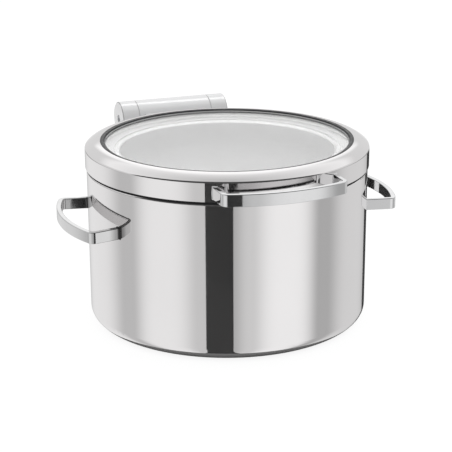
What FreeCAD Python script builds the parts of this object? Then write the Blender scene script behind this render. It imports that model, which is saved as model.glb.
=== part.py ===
# Soup kettle: polished steel shell with a hinged glass lid, an inset for the soup and bar handles.
# Millimetres and degrees. The origin is the middle of the base, +Z is up, the hinge is at +Y.
import FreeCAD
import Part
import Sketcher
import os
import re

# Driving sizes, one cell each.
SIZES = {
    # Shell and its base plate
    "shell_radius": 178.4,
    "shell_sheet": 1.5,
    "shell_corner": 15.4,
    "foot_height": 0.8,
    "base_setback": 6.0,
    "base_thickness": 5.0,
    "base_clearance": 0.3,
    "base_edge": 1.0,
    "shoulder_height": 198.6,
    "shoulder_round": 3.0,
    "neck_setback": 9.4,
    "neck_rise": 17.4,
    # Deck on the neck, and the inset that hangs in it and holds the soup
    "deck_sheet": 1.2,
    "deck_overhang": 0.5,
    "deck_width": 34.0,
    "deck_clearance": 0.5,
    "inset_sheet": 1.2,
    "rim_roll": 4.0,
    "rim_width": 4.0,
    "jacket_depth": 18.3,
    "well_corner": 18.0,
    # Lid ring: skirt, rounded crown and the lip over the glass
    "lid_overhang": 1.6,
    "lid_sheet": 1.5,
    "lid_rise": 16.0,
    "crown_width": 19.6,
    "crown_radius": 29.2,
    "crown_edge": 2.5,
    "seam_gap": 2.0,
    # Glass, its gasket and what clamps them
    "glass_setback": 0.4,
    "glass_thickness": 5.0,
    "glass_clearance": 0.1,
    "gasket_cover": 6.0,
    "gasket_leg": 1.3,
    "gasket_web": 2.0,
    "lip_clearance": 0.1,
    "retainer_cover": 5.5,
    "retainer_setback": 5.5,
    "retainer_sheet": 1.5,
    "stud_setback": 10.5,
    "stud_radius": 2.5,
    "stud_tail": 0.5,
    "stud_clearance": 0.25,
    "nut_radius": 4.6,
    "nut_height": 2.7,
    "thread_clearance": 0.05,
    "seal_setback": 2.0,
    "seal_width": 5.0,
    "seal_clearance": 0.4,
    # Bar handles
    "side_handle_half": 70.9,
    "side_handle_splay": 12.0,
    "side_handle_reach": 40.7,
    "side_handle_bow": 182.2,
    "side_handle_bar": 6.0,
    "side_handle_height": 14.5,
    "side_handle_corner": 9.0,
    "side_handle_drop": 46.5,
    "lid_handle_half": 78.5,
    "lid_handle_splay": 0.0,
    "lid_handle_reach": 31.6,
    "lid_handle_bow": 211.6,
    "lid_handle_bar": 5.6,
    "lid_handle_height": 15.0,
    "lid_handle_corner": 11.0,
    "lid_handle_drop": 12.5,
    "handle_edge": 0.9,
    # Hinge: barrel on the lid between two knuckles on the kettle
    "hinge_standoff": 47.0,
    "hinge_drop": 21.0,
    "barrel_radius": 24.4,
    "barrel_half": 52.55,
    "barrel_wall": 5.0,
    "barrel_edge": 0.5,
    "knuckle_gap": 0.5,
    "knuckle_length": 18.95,
    "cap_thickness": 5.0,
    "cap_edge": 0.8,
    "cap_recess_clearance": 1.2,
    "cap_recess_margin": 0.3,
    "cap_screw_radius": 3.0,
    "cap_screw_head": 4.8,
    "cap_screw_head_height": 3.3,
    "cap_screw_length": 18.0,
    "socket_radius": 2.9,
    "socket_depth": 2.2,
    "damper_length": 40.0,
    "damper_recess": 2.0,
    "damper_floor": 4.0,
    "damper_clearance": 0.05,
    "shaft_radius": 6.0,
    "shaft_flat": 4.5,
    "shaft_end_play": 2.0,
    "shaft_clearance": 0.05,
    "key_clearance": 0.03,
    "key_setback": 1.0,
    # Lid arm of the barrel casting and its fixing through the skirt
    "arm_half": 45.0,
    "arm_setback": 3.4,
    "arm_margin": 2.3,
    "arm_plate_sheet": 2.0,
    "arm_plate_half_angle": 14.0,
    "arm_screw_angle": 9.0,
    "arm_screw_inset": 4.4,
    "arm_screw_radius": 2.0,
    "arm_screw_head": 3.6,
    "arm_screw_head_height": 2.4,
    "arm_screw_grip": 9.0,
    # Bracket that carries the knuckles on the shell
    "bracket_plate": 4.0,
    "bracket_half_angle": 26.0,
    "bracket_drop": 6.6,
    "bracket_height": 42.0,
    "bracket_back_angle": 45.0,
    "bracket_front_angle": 35.0,
    "backing_sheet": 2.0,
    "bracket_screw_angle": 14.0,
    "bracket_screw_inset": 9.0,
    "bracket_screw_radius": 3.0,
    "bracket_screw_head": 5.2,
    "bracket_screw_head_height": 3.0,
    "hole_clearance": 0.25,
    "seat_clearance": 0.15,
}
STUDS = 8

# Heights and radii that follow from the driving sizes.
BASE_RADIUS = "(shell_radius - shell_corner - base_setback)"
NECK_RADIUS = "(shell_radius - neck_setback)"
DECK_TOP = "(shoulder_height + neck_rise)"
NECK_TOP = f"({DECK_TOP} - deck_sheet)"
WELL_RADIUS = f"({NECK_RADIUS} - deck_width)"
RIM_START = f"({WELL_RADIUS} + rim_roll)"
RIM_TOP = f"({DECK_TOP} + inset_sheet)"
WELL_LOW = "(base_thickness + shell_sheet + jacket_depth)"
WELL_FLOOR = f"({WELL_LOW} + inset_sheet)"
LID_RADIUS = "(shell_radius + lid_overhang)"
LID_INSIDE = f"({LID_RADIUS} - lid_sheet)"
LID_TOP = f"({DECK_TOP} + lid_rise)"
LIP_RADIUS = f"({LID_RADIUS} - crown_width)"
SKIRT_LOW = "(shoulder_height + seam_gap)"
GLASS_RADIUS = f"({LIP_RADIUS} - glass_setback)"
GASKET_TOP = f"({LID_TOP} - lid_sheet - lip_clearance)"
GLASS_TOP = f"({GASKET_TOP} - gasket_leg)"
GLASS_LOW = f"({GLASS_TOP} - glass_thickness)"
GASKET_LOW = f"({GLASS_LOW} - gasket_leg)"
RETAINER_LOW = f"({GASKET_LOW} - retainer_sheet)"
GASKET_INNER = f"({GLASS_RADIUS} - gasket_cover)"
RETAINER_INNER = f"({GLASS_RADIUS} - retainer_cover)"
RETAINER_OUTER = f"({LID_INSIDE} - retainer_setback)"
STUD_CIRCLE = f"({LID_INSIDE} - stud_setback)"
SEAL_INNER = f"({RETAINER_INNER} + seal_setback)"
HINGE_REACH = f"({LID_RADIUS} + hinge_standoff)"
HINGE_HEIGHT = f"({LID_TOP} - hinge_drop)"
AXIS_POINT = f"vector(0; {HINGE_REACH}; {HINGE_HEIGHT})"
BARREL_BORE = "(barrel_radius - barrel_wall)"
KNUCKLE_START = "(barrel_half + knuckle_gap)"
CAP_START = f"({KNUCKLE_START} + knuckle_length)"
CAP_RECESS_DEPTH = "(cap_screw_head_height + cap_recess_margin)"
BRACKET_HIGH = "(shoulder_height - bracket_drop)"
BRACKET_LOW = f"({BRACKET_HIGH} - bracket_height)"
# Lengths under this count as nothing.
TINY = 1e-6

doc = FreeCAD.newDocument("soup_kettle")
sheet = doc.addObject("Spreadsheet::Sheet", "Sizes")
for row, (alias, number) in enumerate(SIZES.items(), start=1):
    sheet.set(f"A{row}", alias)
    sheet.set(f"B{row}", str(number))
    sheet.setAlias(f"B{row}", alias)
doc.recompute()

size_names = re.compile(r"\b(" + "|".join(SIZES) + r")\b")


def bound(text):
    """The expression with every size name pointed at its cell."""
    return size_names.sub(r"Sizes.\1", text)


def bind(thing, **expressions):
    """Bind properties of a document object to the sheet."""
    for name, text in expressions.items():
        thing.setExpression(name, bound(text))
    return thing


def at(base, turn="0", about="vector(0; 0; 1)"):
    """Placement expression: a point, and a turn about an axis."""
    return f"placement({base}; rotation({about}; {turn}))"


# Sketches

def plane_of(body, role):
    """One of the body's own origin planes."""
    return next(part for part in body.Origin.OriginFeatures if part.Role == role)


def bent_edge(start, end, radius, turn):
    """Arc of less than half a circle from start to end, bending left or right."""
    along = end - start
    side = FreeCAD.Vector(-along.y, along.x, 0)
    side.normalize()
    half = along.Length / 2
    rise = max(radius * radius - half * half, 0) ** 0.5
    lean = rise if turn == "left" else -rise
    centre = (start + end) / 2 + side * lean
    first, last = (start, end) if turn == "left" else (end, start)
    circle = Part.Circle(centre, FreeCAD.Vector(0, 0, 1), radius)
    return Part.ArcOfCircle(circle, circle.parameter(first), circle.parameter(last))


def draw(sketch, outline):
    """Draw a closed outline and tie each corner, and each arc's radius, to the sheet.

    A corner is (x, y), or (x, y, radius, turn) where the edge to the next corner is an arc.
    """
    corners = [FreeCAD.Vector(sketch.evalExpression(bound(x)), sketch.evalExpression(bound(y)), 0)
               for x, y, *bend in outline]
    ends = []
    for index, (x, y, *bend) in enumerate(outline):
        start = corners[index]
        end = corners[(index + 1) % len(corners)]
        if bend:
            radius = sketch.evalExpression(bound(bend[0]))
            sketch.addGeometry(bent_edge(start, end, radius, bend[1]))
        else:
            sketch.addGeometry(Part.LineSegment(start, end))
        ends.append((2, 1) if bend and bend[1] == "right" else (1, 2))
    for index, (x, y, *bend) in enumerate(outline):
        before = index - 1 if index else len(outline) - 1
        first = ends[index][0]
        join = Sketcher.Constraint("Coincident", before, ends[before][1], index, first)
        sketch.addConstraint(join)
        for kind, text, offset in (("DistanceX", x, corners[index].x), ("DistanceY", y, corners[index].y)):
            place = sketch.addConstraint(Sketcher.Constraint(kind, -1, 1, index, first, offset))
            sketch.setExpression(f"Constraints[{place}]", bound(text))
        if bend:
            radius = sketch.evalExpression(bound(bend[0]))
            size = sketch.addConstraint(Sketcher.Constraint("Radius", index, radius))
            sketch.setExpression(f"Constraints[{size}]", bound(bend[0]))


def sketched_body(label, role, outline):
    """A body with one sketch on an origin plane."""
    body = doc.addObject("PartDesign::Body", label)
    sketch = body.newObject("Sketcher::SketchObject", label + "_outline")
    sketch.AttachmentSupport = [(plane_of(body, role), "")]
    sketch.MapMode = "FlatFace"
    draw(sketch, outline)
    return body, sketch


def turned(label, outline, axis="V_Axis", place=None):
    """A body turned about the upright axis, or about X where the axis is H_Axis."""
    body, sketch = sketched_body(label, "XZ_Plane", outline)
    turn = body.newObject("PartDesign::Revolution", label + "_turn")
    turn.Profile = sketch
    turn.ReferenceAxis = (sketch, [axis])
    turn.Angle = 360
    if place:
        bind(body, Placement=place)
    return body


# Primitives and booleans

def cylinder(label, radius, length, place):
    return bind(doc.addObject("Part::Cylinder", label), Radius=radius, Height=length, Placement=place)


def box(label, length, width, height, place):
    block = doc.addObject("Part::Box", label)
    return bind(block, Length=length, Width=width, Height=height, Placement=place)


def cut(label, base, tool):
    shape = doc.addObject("Part::Cut", label)
    shape.Base = base
    shape.Tool = tool
    return shape


def common(label, base, tool):
    shape = doc.addObject("Part::Common", label)
    shape.Base = base
    shape.Tool = tool
    return shape


def fuse(label, shapes):
    shape = doc.addObject("Part::MultiFuse", label)
    shape.Shapes = shapes
    return shape


def group(label, shapes):
    shape = doc.addObject("Part::Compound", label)
    shape.Links = shapes
    return shape


def along_hinge(label, radius, start, length):
    """A cylinder on the hinge axis."""
    place = at(f"vector({start}; {HINGE_REACH}; {HINGE_HEIGHT})", "90", "vector(0; 1; 0)")
    return cylinder(label, radius, length, place)


def radial_places(angle, low, high, inset):
    """Placements that point X outwards at the back: two angles, inset from two edges."""
    return [at(f"vector(0; 0; {height})", f"90 {side} {angle}")
            for side in "+-" for height in (f"{low} + {inset}", f"{high} - {inset}")]


def curved_plate(label, inner, sheet_text, low, high, half_angle):
    """A plate bent round the kettle's axis, centred on +Y."""
    corner = at(f"vector(0; 0; {low})", f"90 - {half_angle}")
    solid = cylinder(label + "_solid", f"{inner} + {sheet_text}", f"{high} - {low}", corner)
    bind(solid, Angle=f"2 * {half_angle}")
    inside = cylinder(label + "_inside", inner, f"{high} - {low}", corner)
    return cut(label + "_blank", solid, inside)


nodes = []


def keep(shape, label):
    """Give a finished sub-part the name of its file."""
    shape.Label = label
    nodes.append(shape)
    return shape


# Kettle shell: drawn sheet with a recess for the base plate, a shoulder and a neck under the lid.
BASE_SEAT = f"({BASE_RADIUS} + base_clearance)"
shell_drawn = turned("shell_drawn", [
    ("0", "base_thickness"),
    (BASE_SEAT, "base_thickness"),
    (BASE_SEAT, "foot_height"),
    ("shell_radius - shell_corner", "foot_height", "shell_corner", "left"),
    ("shell_radius", "foot_height + shell_corner"),
    ("shell_radius", "shoulder_height - shoulder_round", "shoulder_round", "left"),
    ("shell_radius - shoulder_round", "shoulder_height"),
    (NECK_RADIUS, "shoulder_height"),
    (NECK_RADIUS, NECK_TOP),
    (f"{NECK_RADIUS} - shell_sheet", NECK_TOP),
    (f"{NECK_RADIUS} - shell_sheet", "shoulder_height - shell_sheet"),
    ("shell_radius - shoulder_round", "shoulder_height - shell_sheet",
     "shoulder_round - shell_sheet", "right"),
    ("shell_radius - shell_sheet", "shoulder_height - shoulder_round"),
    ("shell_radius - shell_sheet", "foot_height + shell_corner", "shell_corner - shell_sheet", "right"),
    ("shell_radius - shell_corner", "foot_height + shell_sheet"),
    (f"{BASE_SEAT} + shell_sheet", "foot_height + shell_sheet"),
    (f"{BASE_SEAT} + shell_sheet", "base_thickness + shell_sheet"),
    ("0", "base_thickness + shell_sheet"),
])
BRACKET_PLACES = radial_places("bracket_screw_angle", BRACKET_LOW, BRACKET_HIGH, "bracket_screw_inset")
BACKING_INSIDE = "(shell_radius - shell_sheet - backing_sheet)"


def radial_holes(label, radius, length, places):
    """Plain drills that point outwards from the kettle's axis."""
    lie = at("vector(0; 0; 0)", "90", "vector(0; 1; 0)")
    return group(label, [cylinder(f"{label}_{number}", radius, length, f"{place} * {lie}")
                         for number, place in enumerate(places, start=1)])


bracket_drills = radial_holes(
    "bracket_drills", "bracket_screw_radius + hole_clearance", "shell_radius + shell_sheet", BRACKET_PLACES)
keep(cut("kettle_shell", shell_drawn, bracket_drills), "kettle_shell")

keep(turned("base_plate", [
    ("0", "0"),
    (f"{BASE_RADIUS} - base_edge", "0", "base_edge", "left"),
    (BASE_RADIUS, "base_edge"),
    (BASE_RADIUS, "base_thickness"),
    ("0", "base_thickness"),
]), "base_plate")

keep(turned("deck_ring", [
    (f"{RIM_START} + deck_clearance", NECK_TOP),
    (f"{NECK_RADIUS} + deck_overhang", NECK_TOP),
    (f"{NECK_RADIUS} + deck_overhang", DECK_TOP),
    (f"{RIM_START} + deck_clearance", DECK_TOP),
]), "deck_ring")

# The inset's rolled rim lies on the deck.
keep(turned("soup_inset", [
    ("0", WELL_LOW),
    (f"{WELL_RADIUS} - well_corner", WELL_LOW, "well_corner + inset_sheet", "left"),
    (f"{WELL_RADIUS} + inset_sheet", f"{WELL_FLOOR} + well_corner"),
    (f"{WELL_RADIUS} + inset_sheet", f"{RIM_TOP} - rim_roll", "rim_roll - inset_sheet", "right"),
    (RIM_START, DECK_TOP),
    (f"{RIM_START} + rim_width", DECK_TOP),
    (f"{RIM_START} + rim_width", RIM_TOP),
    (RIM_START, RIM_TOP, "rim_roll", "left"),
    (WELL_RADIUS, f"{RIM_TOP} - rim_roll"),
    (WELL_RADIUS, f"{WELL_FLOOR} + well_corner", "well_corner", "right"),
    (f"{WELL_RADIUS} - well_corner", WELL_FLOOR),
    ("0", WELL_FLOOR),
]), "soup_inset")

# Lid ring: the crown is an arc that is level at the lip and meets the skirt in a small round.
EDGE_REACH = "(crown_width - crown_edge)"
EDGE_RISE = f"sqrt((crown_radius - crown_edge) ^ 2 - {EDGE_REACH} ^ 2)"
CROWN_CENTRE = f"({LID_TOP} - crown_radius)"
CREASE = f"({CROWN_CENTRE} + {EDGE_RISE})"


def crown_joint(radius):
    """Corner where the crown's arc of this radius meets the round at the skirt."""
    share = f"{radius} / (crown_radius - crown_edge)"
    return f"{LIP_RADIUS} + {EDGE_REACH} * {share}", f"{CROWN_CENTRE} + {EDGE_RISE} * {share}"


lid_pressed = turned("lid_pressed", [
    (LID_INSIDE, SKIRT_LOW),
    (LID_RADIUS, SKIRT_LOW),
    (LID_RADIUS, CREASE, "crown_edge", "left"),
    (*crown_joint("crown_radius"), "crown_radius", "left"),
    (LIP_RADIUS, LID_TOP),
    (LIP_RADIUS, f"{LID_TOP} - lid_sheet", "crown_radius - lid_sheet", "right"),
    (*crown_joint("(crown_radius - lid_sheet)"), "crown_edge - lid_sheet", "right"),
    (LID_INSIDE, CREASE),
])
ARM_LOW = f"({SKIRT_LOW} + arm_setback)"
ARM_HIGH = f"({CREASE} - arm_margin)"
ARM_PLACES = radial_places("arm_screw_angle", ARM_LOW, ARM_HIGH, "arm_screw_inset")
arm_drills = radial_holes(
    "arm_drills", "arm_screw_radius + hole_clearance", f"{LID_RADIUS} + lid_sheet", ARM_PLACES)
keep(cut("lid_ring", lid_pressed, arm_drills), "lid_ring")

keep(turned("lid_glass", [
    ("0", GLASS_LOW),
    (GLASS_RADIUS, GLASS_LOW),
    (GLASS_RADIUS, GLASS_TOP),
    ("0", GLASS_TOP),
]), "lid_glass")

GASKET_BACK = f"({GLASS_RADIUS} + glass_clearance)"
keep(turned("glass_gasket", [
    (GASKET_INNER, GASKET_LOW),
    (f"{GASKET_BACK} + gasket_web", GASKET_LOW),
    (f"{GASKET_BACK} + gasket_web", GASKET_TOP),
    (GASKET_INNER, GASKET_TOP),
    (GASKET_INNER, GLASS_TOP),
    (GASKET_BACK, GLASS_TOP),
    (GASKET_BACK, GLASS_LOW),
    (GASKET_INNER, GLASS_LOW),
]), "glass_gasket")

# The retainer clamps the gasket from below, on studs welded under the crown.
retainer_blank = turned("retainer_blank", [
    (RETAINER_INNER, RETAINER_LOW),
    (RETAINER_OUTER, RETAINER_LOW),
    (RETAINER_OUTER, GASKET_LOW),
    (RETAINER_INNER, GASKET_LOW),
])
STUD_LOW = f"({RETAINER_LOW} - nut_height - stud_tail)"
UNDER_CROWN = crown_joint("(crown_radius - lid_sheet)")
over_crown = turned("over_crown", [
    (LIP_RADIUS, LID_TOP),
    (LIP_RADIUS, f"{LID_TOP} - lid_sheet", "crown_radius - lid_sheet", "right"),
    UNDER_CROWN,
    (UNDER_CROWN[0], LID_TOP),
])
studs = []
nuts = []
stud_drills = []
for number in range(STUDS):
    turn = f"{number} * 360 / {STUDS} + 180 / {STUDS}"
    spot = at("vector(0; 0; 0)", turn) + " * " + at(f"vector({STUD_CIRCLE}; 0; {{}})")
    stud_length = f"{LID_TOP} - {STUD_LOW}"
    stud_blank = cylinder(f"stud_blank_{number}", "stud_radius", stud_length, spot.format(STUD_LOW))
    studs.append(cut(f"stud_{number}", stud_blank, over_crown))
    drill_radius = "stud_radius + stud_clearance"
    stud_drills.append(cylinder(f"stud_drill_{number}", drill_radius, stud_length, spot.format(STUD_LOW)))
    nut_blank = doc.addObject("Part::Prism", f"nut_blank_{number}")
    nut_place = spot.format(f"{RETAINER_LOW} - nut_height")
    bind(nut_blank, Circumradius="nut_radius", Height="nut_height", Placement=nut_place)
    thread = cylinder(f"nut_thread_{number}", "stud_radius + thread_clearance", "nut_height", nut_place)
    nuts.append(cut(f"nut_{number}", nut_blank, thread))
keep(cut("glass_retainer", retainer_blank, group("stud_drills", stud_drills)), "glass_retainer")
keep(group("retainer_studs", studs), "retainer_studs")
keep(group("retainer_nuts", nuts), "retainer_nuts")

SEAL_LOW = f"({DECK_TOP} + seal_clearance)"
keep(turned("lid_seal", [
    (SEAL_INNER, RETAINER_LOW),
    (SEAL_INNER, f"{SEAL_LOW} + seal_width / 2", "seal_width / 2", "left"),
    (f"{SEAL_INNER} + seal_width / 2", SEAL_LOW, "seal_width / 2", "left"),
    (f"{SEAL_INNER} + seal_width", f"{SEAL_LOW} + seal_width / 2"),
    (f"{SEAL_INNER} + seal_width", RETAINER_LOW),
]), "lid_seal")


# Bar handles: a flat bar bowed round the kettle, its legs splayed from the wall and welded to it.

def bar_handle(label, kind, seat, below, turn):
    """A handle at -Y, hung below a height and turned to its side. Kind starts its size names.

    The right leg's own directions are along it, away from the wall, and across it, away from the middle.
    """
    half = f"{kind}_half"
    bar = f"{kind}_bar"
    bow = f"{kind}_bow"
    corner = f"{kind}_corner"
    sine = f"sin({kind}_splay * 1 deg)"
    cosine = f"cos({kind}_splay * 1 deg)"
    foot = f"sqrt({seat} ^ 2 - {half} ^ 2)"
    bow_centre = f"({seat} + {kind}_reach - {bow})"

    def place(along, across, start="0"):
        """Corner at two distances from a point on the handle's middle line."""
        return f"{sine} * {along} + {cosine} * {across}", f"{sine} * {across} - {cosine} * {along} - {start}"

    # The round's centre, seen from the bow's centre, and both ends of the leg's inner face.
    round_across = f"({half} * {cosine} - ({foot} - {bow_centre}) * {sine} - {corner})"
    round_along = f"sqrt(({bow} - {corner}) ^ 2 - {round_across} ^ 2)"
    inner_across = f"({half} * {cosine} - {foot} * {sine} - {bar})"
    inner_along = f"sqrt({seat} ^ 2 - {inner_across} ^ 2)"

    def on_bow(radius):
        """Corner where the round runs into the bow, at this radius of the bow."""
        share = f"{radius} / ({bow} - {corner})"
        return place(f"{round_along} * {share}", f"{round_across} * {share}", bow_centre)

    outer_leg = place(round_along, f"({round_across} + {corner})", bow_centre)
    inner_leg = place(round_along, f"({round_across} + {corner} - {bar})", bow_centre)
    outer_bow = on_bow(bow)
    inner_bow = on_bow(f"({bow} - {bar})")
    inner_foot = place(inner_along, inner_across)

    def mirrored(point):
        return f"-({point[0]})", point[1]

    body, sketch = sketched_body(label, "XY_Plane", [
        (f"-{half}", f"-{foot}"),
        (*mirrored(outer_leg), corner, "left"),
        (*mirrored(outer_bow), bow, "left"),
        (*outer_bow, corner, "left"),
        outer_leg,
        (half, f"-{foot}", seat, "right"),
        inner_foot,
        (*inner_leg, f"{corner} - {bar}", "right"),
        (*inner_bow, f"{bow} - {bar}", "right"),
        (*mirrored(inner_bow), f"{corner} - {bar}", "right"),
        mirrored(inner_leg),
        (*mirrored(inner_foot), seat, "right"),
    ])
    pad = body.newObject("PartDesign::Pad", label + "_bar")
    pad.Profile = sketch
    bind(pad, Length=f"{kind}_height")
    doc.recompute()
    wall = sketch.evalExpression(bound(seat))
    long_edges = []
    for number, edge in enumerate(pad.Shape.Edges, start=1):
        level = edge.BoundBox.ZLength < TINY
        on_wall = hasattr(edge.Curve, "Radius") and abs(edge.Curve.Radius - wall) < TINY
        if level and not on_wall:
            long_edges.append(f"Edge{number}")
    round_over = body.newObject("PartDesign::Fillet", label + "_edges")
    round_over.Base = (pad, long_edges)
    bind(round_over, Radius="handle_edge")
    bind(body, Placement=at(f"vector(0; 0; {below} - {kind}_drop - {kind}_height)", turn))
    return keep(body, label)


bar_handle("left_handle", "side_handle", "shell_radius", "shoulder_height", "-90")
bar_handle("right_handle", "side_handle", "shell_radius", "shoulder_height", "90")
bar_handle("lid_handle", "lid_handle", LID_RADIUS, LID_TOP, "0")

# Barrel casting on the lid: a tube with an arm that reaches the skirt.
barrel_solid = turned("barrel_solid", [
    ("-barrel_half", "0"),
    ("barrel_half", "0"),
    ("barrel_half", "barrel_radius - barrel_edge"),
    ("barrel_half - barrel_edge", "barrel_radius"),
    ("barrel_edge - barrel_half", "barrel_radius"),
    ("-barrel_half", "barrel_radius - barrel_edge"),
], "H_Axis", at(AXIS_POINT))
arm_block = box("arm_block", "2 * arm_half", "hinge_standoff + arm_screw_grip", f"{ARM_HIGH} - {ARM_LOW}",
                at(f"vector(-arm_half; {LID_RADIUS} - arm_screw_grip; {ARM_LOW})"))
barrel_casting = fuse("barrel_casting", [barrel_solid, arm_block])
lid_space = cylinder("lid_space", f"{LID_RADIUS} + seat_clearance", LID_TOP, at("vector(0; 0; 0)"))
barrel_fitted = cut("barrel_fitted", barrel_casting, lid_space)
bore = along_hinge("bore", BARREL_BORE, "-barrel_half", "2 * barrel_half")
barrel_bored = cut("barrel_bored", barrel_fitted, bore)
ARM_TAP = "arm_screw_radius + thread_clearance"
arm_taps = radial_holes("arm_taps", ARM_TAP, f"{LID_RADIUS} + arm_screw_grip", ARM_PLACES)
keep(cut("hinge_barrel", barrel_bored, arm_taps), "hinge_barrel")

# Plate inside the skirt that spreads the pull of the arm, and its screws.
ARM_PLATE_INSIDE = f"({LID_INSIDE} - arm_plate_sheet)"
arm_plate_blank = curved_plate("arm_plate", ARM_PLATE_INSIDE, "(arm_plate_sheet - seat_clearance)",
                               ARM_LOW, ARM_HIGH, "arm_plate_half_angle")
keep(cut("arm_plate", arm_plate_blank, arm_drills), "arm_plate")


def radial_screws(label, kind, inside, tip, places):
    """Pan head screws driven outwards, one at each place.

    The rim of each flat head meets the curved inside of its plate.
    """
    seat = f"(sqrt({inside} ^ 2 - {kind}_head ^ 2) - thread_clearance)"
    screws = []
    for number, place in enumerate(places, start=1):
        screws.append(turned(f"{label}_{number}", [
            (f"{seat} - {kind}_head_height", "0"),
            (tip, "0"),
            (tip, f"{kind}_radius"),
            (seat, f"{kind}_radius"),
            (seat, f"{kind}_head"),
            (f"{seat} - {kind}_head_height", f"{kind}_head"),
        ], "H_Axis", place))
    return keep(group(label, screws), label)


ARM_SCREW_TIP = f"{LID_RADIUS} + arm_screw_grip - seat_clearance"
radial_screws("arm_screws", "arm_screw", ARM_PLATE_INSIDE, ARM_SCREW_TIP, ARM_PLACES)

# Bracket casting on the shell: curved plate, two arms and the two knuckles.
bracket_wall = curved_plate("bracket_wall", "shell_radius", "bracket_plate",
                            BRACKET_LOW, BRACKET_HIGH, "bracket_half_angle")
WALL_START = f"(sqrt(shell_radius ^ 2 - {CAP_START} ^ 2) - shell_sheet)"
ARM_FRONT = f"{HINGE_REACH} - barrel_radius * cos(bracket_front_angle * 1 deg)"
bracket_pieces = [bracket_wall]
for side, turn in (("left", "180"), ("right", "0")):
    arm_body, arm_sketch = sketched_body(f"bracket_arm_{side}", "YZ_Plane", [
        (WALL_START, BRACKET_LOW),
        ("shell_radius + bracket_plate", BRACKET_LOW),
        (f"{HINGE_REACH} + barrel_radius * sin(bracket_back_angle * 1 deg)",
         f"{HINGE_HEIGHT} - barrel_radius * cos(bracket_back_angle * 1 deg)"),
        (HINGE_REACH, HINGE_HEIGHT),
        (ARM_FRONT, f"{HINGE_HEIGHT} - barrel_radius * sin(bracket_front_angle * 1 deg)"),
        (ARM_FRONT, BRACKET_HIGH),
        (WALL_START, BRACKET_HIGH),
    ])
    pad = arm_body.newObject("PartDesign::Pad", f"bracket_arm_{side}_web")
    pad.Profile = arm_sketch
    bind(pad, Length="knuckle_length")
    start = KNUCKLE_START if side == "right" else f"-{CAP_START}"
    bind(arm_body, Placement=at(f"vector({start}; 0; 0)"))
    knuckle = turned(f"knuckle_{side}", [
        (KNUCKLE_START, "0"),
        (CAP_START, "0"),
        (CAP_START, "barrel_radius"),
        (f"{KNUCKLE_START} + barrel_edge", "barrel_radius"),
        (KNUCKLE_START, "barrel_radius - barrel_edge"),
    ], "H_Axis", at(AXIS_POINT, turn))
    bracket_pieces += [arm_body, knuckle]
bracket_casting = fuse("bracket_casting", bracket_pieces)
shell_space = cylinder("shell_space", "shell_radius + seat_clearance", LID_TOP, at("vector(0; 0; 0)"))
bracket_fitted = cut("bracket_fitted", bracket_casting, shell_space)
key_round = along_hinge("key_round", "shaft_radius + key_clearance", f"-{CAP_START}", f"2 * {CAP_START}")
KEY_HALF = "(shaft_flat + key_clearance)"
key_slab = box("key_slab", f"2 * {CAP_START}", "4 * shaft_radius", f"2 * {KEY_HALF}",
               at(f"vector(-{CAP_START}; {HINGE_REACH} - 2 * shaft_radius; {HINGE_HEIGHT} - {KEY_HALF})"))
bracket_keyed = cut("bracket_keyed", bracket_fitted, common("keyway", key_round, key_slab))
BRACKET_TAP = "bracket_screw_radius + thread_clearance"
bracket_taps = radial_holes(
    "bracket_taps", BRACKET_TAP, "shell_radius + bracket_plate + shell_sheet", BRACKET_PLACES)
keep(cut("hinge_bracket", bracket_keyed, bracket_taps), "hinge_bracket")

backing_blank = curved_plate("bracket_backing", BACKING_INSIDE, "(backing_sheet - seat_clearance)",
                             BRACKET_LOW, BRACKET_HIGH, "bracket_half_angle")
keep(cut("bracket_backing", backing_blank, bracket_drills), "bracket_backing")
BRACKET_TIP = "shell_radius + bracket_plate"
radial_screws("bracket_screws", "bracket_screw", BACKING_INSIDE, BRACKET_TIP, BRACKET_PLACES)

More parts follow.
